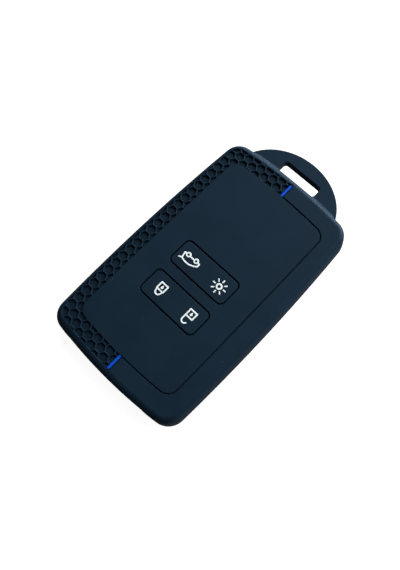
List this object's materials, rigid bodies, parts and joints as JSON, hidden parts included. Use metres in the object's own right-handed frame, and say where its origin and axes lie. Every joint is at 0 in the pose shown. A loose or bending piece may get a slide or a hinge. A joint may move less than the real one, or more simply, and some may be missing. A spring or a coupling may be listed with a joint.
{
  "type": "key fob cover",
  "caption": "Soft silicone cover for a flat card key, with button pads, honeycomb trim and a key ring tab.",
  "frame": {"origin": "under the middle of the whole cover, tab included, on the surface that its back rests on", "axes": "+X across the cover to the right as the front is seen with the tab up, +Y along the cover towards the key ring tab, +Z out of the front face"},
  "size_m": [0.0484, 0.0874, 0.0125],
  "materials": {
    "silicone": "soft matte dark blue-grey silicone",
    "blue_silicone": "matte blue silicone",
    "white_silicone": "matte white silicone"
  },
  "bodies": {
    "cover": {"cover_body": "silicone", "upper_accent_bar": "blue_silicone", "lower_accent_bar": "blue_silicone"},
    "upper_web": {"upper_pad_web": "silicone"},
    "upper_pad": {"upper_button_pad": "silicone", "boot_symbol": "white_silicone", "light_symbol": "white_silicone"},
    "lower_web": {"lower_pad_web": "silicone"},
    "lower_pad": {"lower_button_pad": "silicone", "lock_symbol": "white_silicone", "unlock_symbol": "white_silicone"}
  },
  "joints": [
    {"name": "boot_press", "type": "hinge", "parent": "cover", "child": "upper_web", "pos_m": [0.00985, -0.00415, 0.0115], "axis": [0, -1, 0], "range_deg": [0, 2.3], "stiffness_Nm_per_rad": 1, "deforming": ["upper_pad_web"]},
    {"name": "light_press", "type": "hinge", "parent": "upper_web", "child": "upper_pad", "pos_m": [-0.00985, -0.00415, 0.0115], "axis": [0, 1, 0], "range_deg": [0, 2.3], "stiffness_Nm_per_rad": 1, "deforming": ["upper_pad_web"]},
    {"name": "lock_press", "type": "hinge", "parent": "cover", "child": "lower_web", "pos_m": [0.00985, -0.0161, 0.0115], "axis": [0, -1, 0], "range_deg": [0, 2.3], "stiffness_Nm_per_rad": 1, "deforming": ["lower_pad_web"]},
    {"name": "unlock_press", "type": "hinge", "parent": "lower_web", "child": "lower_pad", "pos_m": [-0.00985, -0.0161, 0.0115], "axis": [0, 1, 0], "range_deg": [0, 2.3], "stiffness_Nm_per_rad": 1, "deforming": ["lower_pad_web"]}
  ]
}
